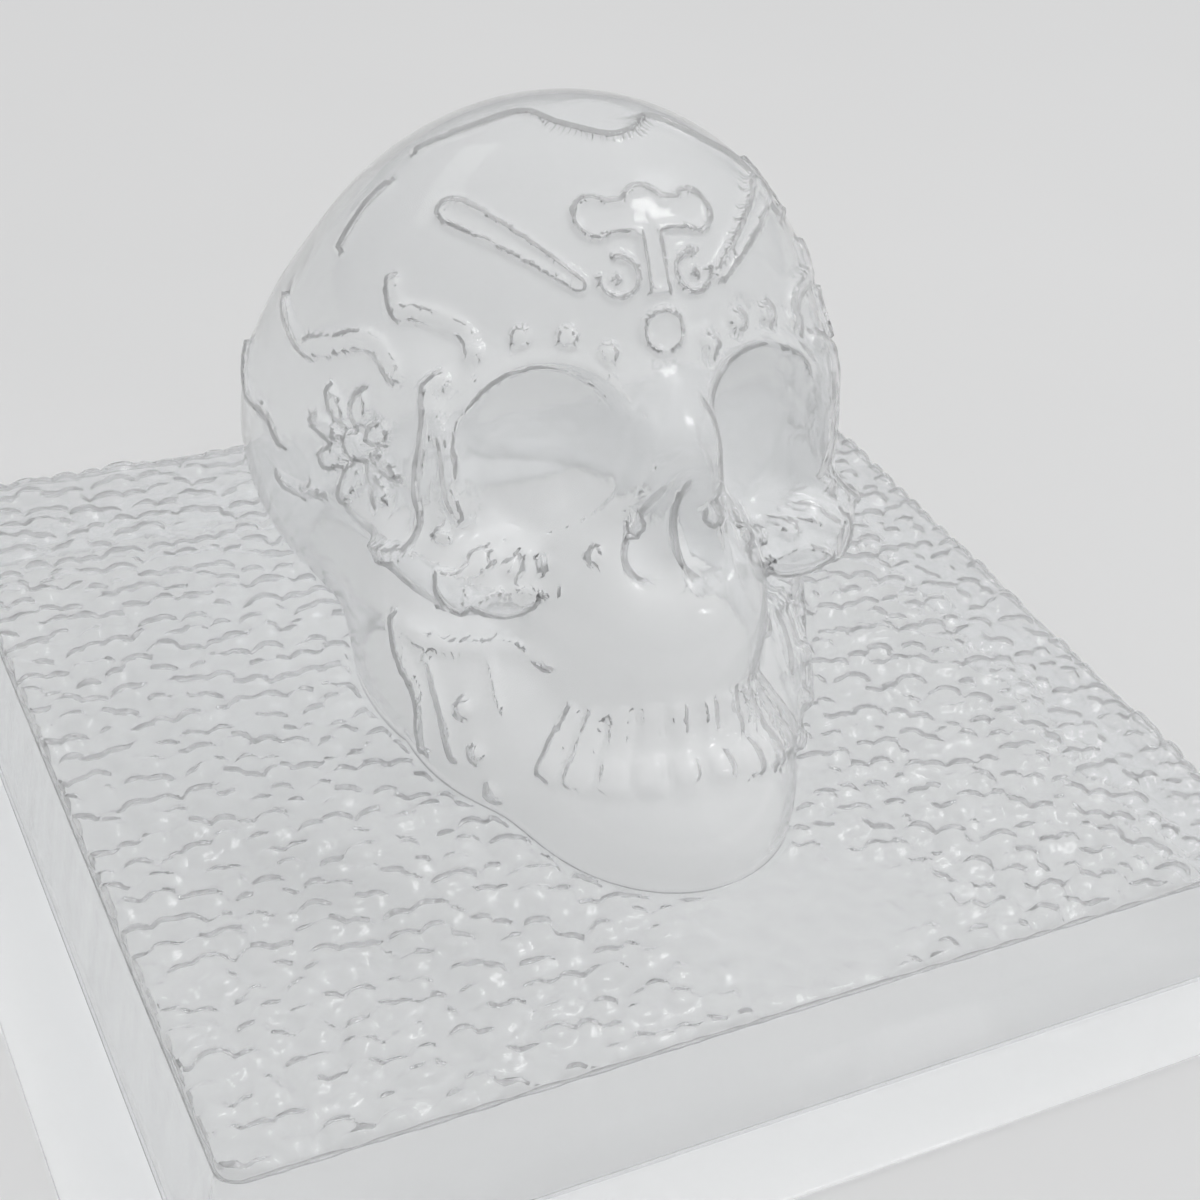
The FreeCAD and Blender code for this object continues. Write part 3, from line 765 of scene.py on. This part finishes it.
def clear_sheet(name, tint_with_painted_tone, wave, grain, stretch=(1, 1, 1), pebble=0.0):
    """Clear plastic with a slow unevenness, fine grain, a varying gloss and a pebbled skin; its tint
    carries painted shade on the deck and painted light on the wall and lip.
    """
    material = bpy.data.materials.new(name)
    material.use_nodes = True
    tree = material.node_tree
    tree.nodes.clear()
    output = add_node(tree, "ShaderNodeOutputMaterial")
    glass = add_node(tree, "ShaderNodeBsdfPrincipled", IOR=SHEET_INDEX)
    glass.inputs["Base Color"].default_value = tint_with_painted_tone
    glass.inputs["Transmission Weight"].default_value = SHEET_CLEARNESS
    place = add_node(tree, "ShaderNodeTexCoord").outputs["Object"]
    slow = noise_texture(tree, place, SLOW_SCALE, 2.0, stretch)
    fine = noise_texture(tree, place, FINE_SCALE, 3.0)
    gloss = add_node(tree, "ShaderNodeMapRange")
    gloss.inputs["To Min"].default_value, gloss.inputs["To Max"].default_value = GLOSS_RANGE
    tree.links.new(fine.outputs["Fac"], gloss.inputs["Value"])
    tree.links.new(gloss.outputs["Result"], glass.inputs["Roughness"])
    bump_slow = add_node(tree, "ShaderNodeBump", Strength=wave, Distance=SLOW_DEPTH)
    bump_fine = add_node(tree, "ShaderNodeBump", Strength=grain, Distance=FINE_DEPTH)
    tree.links.new(slow.outputs["Fac"], bump_slow.inputs["Height"])
    tree.links.new(fine.outputs["Fac"], bump_fine.inputs["Height"])
    tree.links.new(bump_slow.outputs["Normal"], bump_fine.inputs["Normal"])
    if pebble:
        cells = add_node(tree, "ShaderNodeTexVoronoi", feature="SMOOTH_F1", Scale=PEBBLE_SCALE,
                         Smoothness=0.25)
        tree.links.new(place, cells.inputs["Vector"])
        bump_cells = add_node(tree, "ShaderNodeBump", Strength=pebble, Distance=PEBBLE_DEPTH)
        bump_cells.invert = True
        tree.links.new(cells.outputs["Distance"], bump_cells.inputs["Height"])
        tree.links.new(bump_cells.outputs["Normal"], bump_slow.inputs["Normal"])
    tree.links.new(bump_fine.outputs["Normal"], glass.inputs["Normal"])
    through = add_node(tree, "ShaderNodeBsdfTransparent")
    through.inputs["Color"].default_value = SHADOW_TINT
    path = add_node(tree, "ShaderNodeLightPath")
    mix = add_node(tree, "ShaderNodeMixShader")
    tree.links.new(path.outputs["Is Shadow Ray"], mix.inputs["Fac"])
    tree.links.new(glass.outputs["BSDF"], mix.inputs[1])
    tree.links.new(through.outputs["BSDF"], mix.inputs[2])
    tree.links.new(mix.outputs["Shader"], output.inputs["Surface"])
    return material


skull_sheet = clear_sheet("skull_sheet", SKULL_TINT, 0.12, 0.05)
# The deck's material carries painted shade in its darker tint.
deck_sheet = clear_sheet("deck_sheet", DECK_PAINTED_SHADE_TINT, 0.20, 0.10, pebble=0.35)
# The wall's and lip's materials carry painted light in their lighter tint.
wall_sheet = clear_sheet("wall_sheet", WALL_PAINTED_LIGHT_TINT, 0.25, 0.05, (1, 1, 0.3))
lip_sheet = clear_sheet("lip_sheet", WALL_PAINTED_LIGHT_TINT, 0.15, 0.05)
print("materials", [sheet.name for sheet in (skull_sheet, deck_sheet, wall_sheet, lip_sheet)])

# %% [markdown]
# The skull is one piece of sheet, so it is one object, and it stands in for all the solids that
# divide the skull in the model.

# %% The skull piece
skull = finish_piece("skull_shell", skull_mesh(), skull_sheet, SHEET)
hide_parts("skull_vault", "skull_face", "skull_jaw", "forehead_relief", "nose",
            "eye_socket_left", "eye_socket_right", "upper_teeth", "lower_teeth",
            "temple_flower_left", "temple_flower_right")

# %% [markdown]
# ## The deck
#
# The deck is flat, with a hammered surface of small bumps that fades out in front of the chin.
# Each bump is a steep dome with its own size and place, drawn by chance with a fixed seed. The
# deck is one grid, cut open under the skull and rolled over at its edge into the wall.

# %% Deck
DECK_WIDTH = 200.0
DECK_DEPTH = 190.0
DECK_CORNER = 4.0
DECK_STEP = 0.88
EDGE_ROLL = 1.0
ROLL_STEPS = 3
ROLL_LIFT = 0.6
DECK_SINK = 0.02
BUMP_PITCH = 5.0
BUMP_RELIEF = 1.6
BUMP_SEED = 11
BUMP_JITTER = 0.36
BUMP_REACH = 0.72
BUMP_STEEPNESS = 0.45
SMOOTH_SPOT = ((6.0, -78.0), 17.0)


def hammered(x, y):
    """Height of the hammered bumps at points of the deck."""
    rows = int(DECK_WIDTH / BUMP_PITCH) + 4
    chance = np.random.default_rng(BUMP_SEED)
    jitter = chance.uniform(-BUMP_JITTER, BUMP_JITTER, (rows, rows, 2))
    size = chance.uniform(0.6, 1.0, (rows, rows))
    column, row = x / BUMP_PITCH + rows / 2, y / BUMP_PITCH + rows / 2
    height = 0 * x
    for i in (-1, 0, 1):
        for j in (-1, 0, 1):
            a = np.clip(np.floor(column).astype(int) + i, 0, rows - 1)
            b = np.clip(np.floor(row).astype(int) + j, 0, rows - 1)
            dx = column - (a + 0.5 + jitter[a, b, 0])
            dy = (row - (b + 0.5 + jitter[a, b, 1])) * 1.25
            reach = BUMP_REACH * size[a, b]
            dome = np.clip(1 - (dx ** 2 + dy ** 2) / reach ** 2, 0, 1) ** BUMP_STEEPNESS
            height = np.maximum(height, BUMP_RELIEF * size[a, b] * dome)
    (cx, cy), radius = SMOOTH_SPOT
    return height * smooth_step(np.hypot((x - cx) * 0.7, y - cy) / radius - 0.4)


def to_skull(x, y):
    """Deck points in the skull's frame."""
    turn = math.radians(-SKULL_TURN)
    x, y = x - SKULL_SHIFT[0], y - SKULL_SHIFT[1]
    return x * math.cos(turn) - y * math.sin(turn), x * math.sin(turn) + y * math.cos(turn)


def rounded_place(x, y, width, depth, radius, grow):
    """Points moved onto a rectangle with round corners, grown outwards by a distance."""
    core_x = np.clip(x, radius - width / 2, width / 2 - radius)
    core_y = np.clip(y, radius - depth / 2, depth / 2 - radius)
    away = np.maximum(np.hypot(x - core_x, y - core_y), 1e-6)
    scale = (radius + grow) / away
    return core_x + (x - core_x) * scale, core_y + (y - core_y) * scale


def foot_place(points):
    """Deck points in the skull's frame, at the height of its foot, and how deep inside they lie."""
    x, y = to_skull(points[:, 0], points[:, 1])
    place = np.stack([x, y, 0 * x], axis=1)
    return place, depth_inside(place)


def meet_skull(points, place, depth, edge):
    """Deck points with the opening's edge moved under the skull's foot."""
    inner = (np.abs(points[:, 0]) < DECK_WIDTH * 0.4) & (np.abs(points[:, 1]) < DECK_DEPTH * 0.45)
    near = edge & inner & (depth > -4 * DECK_STEP)
    spoke = place - axis_at(place[:, 2])
    aim = spoke / np.linalg.norm(spoke, axis=1)[:, None]
    moved = to_row(place + aim * (depth - SHEET * 0.8)[:, None]) / MM
    return np.where(near[:, None], moved[:, :2], points[:, :2])


def round_corners(x, y, width, depth, radius):
    """Points of a rectangle squeezed into its round corners."""
    core_x = np.clip(x, radius - width / 2, width / 2 - radius)
    core_y = np.clip(y, radius - depth / 2, depth / 2 - radius)
    dx, dy = x - core_x, y - core_y
    square = np.maximum(np.abs(dx), np.abs(dy))
    beyond = (np.abs(x) > width / 2 - radius) & (np.abs(y) > depth / 2 - radius)
    scale = np.where(beyond, square / np.maximum(np.hypot(dx, dy), 1e-6), 1.0)
    return core_x + dx * scale, core_y + dy * scale


def deck_mesh():
    """Hammered deck with its opening and its rolled edge."""
    deck = bmesh.new()
    columns, rows = int(DECK_WIDTH / DECK_STEP), int(DECK_DEPTH / DECK_STEP)
    bmesh.ops.create_grid(deck, x_segments=columns, y_segments=rows, size=1.0)
    width, depth = DECK_WIDTH - 2 * EDGE_ROLL, DECK_DEPTH - 2 * EDGE_ROLL
    bmesh.ops.scale(deck, vec=(width / 2, depth / 2, 1), verts=deck.verts)
    _, sunk = foot_place(coordinates(deck))
    under = [v for v, value in zip(deck.verts, sunk) if value > SHEET + DECK_STEP * 0.4]
    bmesh.ops.delete(deck, geom=under, context="VERTS")
    points = coordinates(deck)
    place, sunk = foot_place(points)
    height = hammered(points[:, 0], points[:, 1]) * smooth_step((-sunk - 0.3) / 1.5)
    edge = np.array([v.is_boundary for v in deck.verts])
    points[:, :2] = meet_skull(points, place, sunk, edge)
    points[:, 0], points[:, 1] = round_corners(points[:, 0], points[:, 1], width, depth,
                                               DECK_CORNER - EDGE_ROLL)
    points[:, 2] = DECK_TOP + height - DECK_SINK
    set_coordinates(deck, points)
    roll_edge(deck)
    bmesh.ops.scale(deck, vec=(MM, MM, MM), verts=deck.verts)
    bmesh.ops.recalc_face_normals(deck, faces=deck.faces)
    return deck


def roll_edge(deck):
    """Roll the deck's outer edge over in a quarter round."""
    rim = [e for e in deck.edges if e.is_boundary and
           max(abs(e.verts[0].co.x) / DECK_WIDTH, abs(e.verts[0].co.y) / DECK_DEPTH) > 0.47]
    core = DECK_CORNER - EDGE_ROLL
    for step in range(1, ROLL_STEPS + 1):
        turn = math.pi / 2 * step / ROLL_STEPS
        grown = bmesh.ops.extrude_edge_only(deck, edges=rim)["geom"]
        corners = [g for g in grown if isinstance(g, bmesh.types.BMVert)]
        rim = [g for g in grown if isinstance(g, bmesh.types.BMEdge)]
        for vertex in corners:
            x, y = rounded_place(vertex.co.x, vertex.co.y, DECK_WIDTH - 2 * EDGE_ROLL,
                                 DECK_DEPTH - 2 * EDGE_ROLL, core, EDGE_ROLL * math.sin(turn))
            lift = (vertex.co.z - DECK_TOP) * ROLL_LIFT
            vertex.co = (x, y, DECK_TOP + lift - EDGE_ROLL * (1 - math.cos(turn)))


deck = finish_piece("deck", deck_mesh(), deck_sheet, SHEET * 0.95)
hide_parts("tray_deck")

# %% [markdown]
# ## Wall and lip
#
# The wall leans out a little so that the sheet lets go of the pattern. Both it and the lip are
# drawn from one outline, a rectangle with round corners, that is pulled out step by step along
# a section.

# %% Wall and lip
WALL_DRAFT = 3.0
FLANGE_WIDTH = 15.0
CORNER_SIDES = 8
SIDE_CUTS = 90


def outline_ring(width, depth, radius, z):
    """Open ring of edges around a rectangle with round corners."""
    ring = bmesh.new()
    bmesh.ops.create_grid(ring, x_segments=1, y_segments=1, size=1.0)
    bmesh.ops.scale(ring, vec=(width / 2, depth / 2, 1), verts=ring.verts)
    bmesh.ops.bevel(ring, geom=ring.verts[:], affect="VERTICES", offset=radius, offset_type="OFFSET",
                    segments=CORNER_SIDES, profile=0.5, material=-1)
    long_edges = [e for e in ring.edges if e.calc_length() > radius * 2]
    bmesh.ops.subdivide_edges(ring, edges=long_edges, cuts=SIDE_CUTS)
    bmesh.ops.delete(ring, geom=ring.faces[:], context="FACES_ONLY")
    bmesh.ops.translate(ring, vec=(0, 0, z), verts=ring.verts)
    return ring


def pull_section(ring, width, depth, radius, section):
    """Pull the ring along a section of outward distances and heights."""
    rim = ring.edges[:]
    for grow, z in section:
        grown = bmesh.ops.extrude_edge_only(ring, edges=rim)["geom"]
        rim = [g for g in grown if isinstance(g, bmesh.types.BMEdge)]
        for vertex in [g for g in grown if isinstance(g, bmesh.types.BMVert)]:
            x, y = rounded_place(vertex.co.x, vertex.co.y, width, depth, radius, grow)
            vertex.co = (x, y, z)
    bmesh.ops.scale(ring, vec=(MM, MM, MM), verts=ring.verts)
    bmesh.ops.recalc_face_normals(ring, faces=ring.faces)


def face_out(ring):
    """Turn the faces so that they look away from the mould's middle or up."""
    ring.normal_update()
    tested = max(ring.faces, key=lambda face: face.calc_area())
    middle = tested.calc_center_median()
    outward = Vector((middle.x, middle.y, 0.2))
    if tested.normal.dot(outward) < 0:
        bmesh.ops.reverse_faces(ring, faces=ring.faces)


def wall_mesh():
    """Drafted wall with a soft foot."""
    ring = outline_ring(DECK_WIDTH, DECK_DEPTH, DECK_CORNER, DECK_TOP - EDGE_ROLL)
    section = [(0.02, 22.4)]
    for z in (20, 17, 14, 11, 8, 5, 3):
        section.append((WALL_DRAFT * (23 - z) / 22, z))
    section += [(2.85, 2.0), (3.1, 1.4), (3.6, 1.05)]
    pull_section(ring, DECK_WIDTH, DECK_DEPTH, DECK_CORNER, section)
    face_out(ring)
    return ring


def lip_mesh():
    """Flat lip with a soft cut edge."""
    width, depth = DECK_WIDTH + 2 * WALL_DRAFT, DECK_DEPTH + 2 * WALL_DRAFT
    ring = outline_ring(width - 1, depth - 1, DECK_CORNER, 0.98)
    section = [(grow, 1.0) for grow in (0.5, 2, 4, 6, 8, 10, 12)]
    section += [(FLANGE_WIDTH - 0.8, 1.0), (FLANGE_WIDTH - 0.3, 0.95), (FLANGE_WIDTH, 0.75)]
    pull_section(ring, width, depth, DECK_CORNER, section)
    face_out(ring)
    return ring


wall = finish_piece("tray_side", wall_mesh(), wall_sheet, SHEET * 0.95)
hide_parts("tray_wall")
lip = finish_piece("tray_lip", lip_mesh(), lip_sheet, SHEET * 0.97)
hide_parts("tray_flange")

# %% [markdown]
# ## Floor and light
#
# The photograph has a plain pale ground and soft light from all sides. Clear plastic shows only
# what it mirrors and bends, so the world is bright above and darker towards the horizon: that
# draws the thin dark lines.

# %% Floor
FLOOR_SIZE = 6.0
FLOOR_TONE = 0.80
FLOOR_UNEVENNESS = 0.01
FLOOR_GAP = 0.0003


def floor_material():
    """Pale matt paper with a faint unevenness."""
    material = bpy.data.materials.new("floor")
    material.use_nodes = True
    tree = material.node_tree
    shader = tree.nodes["Principled BSDF"]
    shader.inputs["Roughness"].default_value = 0.9
    shader.inputs["Specular IOR Level"].default_value = 0.1
    place = add_node(tree, "ShaderNodeTexCoord").outputs["Object"]
    noise = noise_texture(tree, place, 9.0, 3.0)
    tone = add_node(tree, "ShaderNodeMapRange")
    tone.inputs["To Min"].default_value = FLOOR_TONE - FLOOR_UNEVENNESS
    tone.inputs["To Max"].default_value = FLOOR_TONE + FLOOR_UNEVENNESS
    tree.links.new(noise.outputs["Fac"], tone.inputs["Value"])
    tree.links.new(tone.outputs["Result"], shader.inputs["Base Color"])
    return material


def make_floor():
    """Wide floor a hair under the mould."""
    sheet = bmesh.new()
    bmesh.ops.create_grid(sheet, x_segments=4, y_segments=4, size=FLOOR_SIZE / 2)
    data = bpy.data.meshes.new("floor")
    sheet.to_mesh(data)
    sheet.free()
    data.materials.append(floor_material())
    floor = bpy.data.objects.new("floor", data)
    floor.location = (0, 0, -FLOOR_GAP)
    bpy.context.scene.collection.objects.link(floor)


make_floor()
print("floor", FLOOR_SIZE, "metres wide")

# %% [markdown]
# One soft lamp stands high on the right, for the glow on the forehead. A small one in front and
# a wide one behind add the white glints along edges.

# %% Lamps and world
WORLD_STRENGTH = 0.80
# Height in the world and tone, from the horizon up
WORLD_TONES = ((0.0, (0.45, 0.46, 0.47, 1)), (0.25, (0.68, 0.69, 0.70, 1)),
               (0.75, (0.95, 0.95, 0.95, 1)))


def soft_lamp(name, place, target, width, height, power):
    """Rectangular soft lamp that looks at a point."""
    light = bpy.data.lights.new(name, "AREA")
    light.shape = "RECTANGLE"
    light.size, light.size_y = width, height
    light.energy = power
    lamp = bpy.data.objects.new(name, light)
    lamp.location = place
    lamp.rotation_euler = (Vector(target) - Vector(place)).to_track_quat("-Z", "Y").to_euler()
    bpy.context.scene.collection.objects.link(lamp)


soft_lamp("lamp_top", (0.55, -0.10, 1.2), (0, 0, 0.05), 0.35, 0.35, 2.6)
soft_lamp("lamp_front", (0.56, -0.85, 0.6), (0, 0, 0.05), 0.10, 0.10, 0.4)
soft_lamp("lamp_back", (-0.5, 1.0, 0.9), (0, 0, 0.03), 0.9, 0.3, 0.6)


def make_world():
    """Pale world, bright overhead and darker low down."""
    world = bpy.data.worlds.new("world")
    world.use_nodes = True
    tree = world.node_tree
    background = tree.nodes["Background"]
    place = add_node(tree, "ShaderNodeTexCoord").outputs["Generated"]
    split = add_node(tree, "ShaderNodeSeparateXYZ")
    tree.links.new(place, split.inputs["Vector"])
    ramp = add_node(tree, "ShaderNodeValToRGB")
    stops = ramp.color_ramp.elements
    stops.new(0.5)
    for stop, (height, tone) in zip(stops, WORLD_TONES):
        stop.position, stop.color = height, tone
    tree.links.new(split.outputs["Z"], ramp.inputs["Fac"])
    tree.links.new(ramp.outputs["Color"], background.inputs["Color"])
    background.inputs["Strength"].default_value = WORLD_STRENGTH
    bpy.context.scene.world = world


make_world()
bpy.context.scene.view_settings.view_transform = "Standard"
print("world strength", WORLD_STRENGTH)
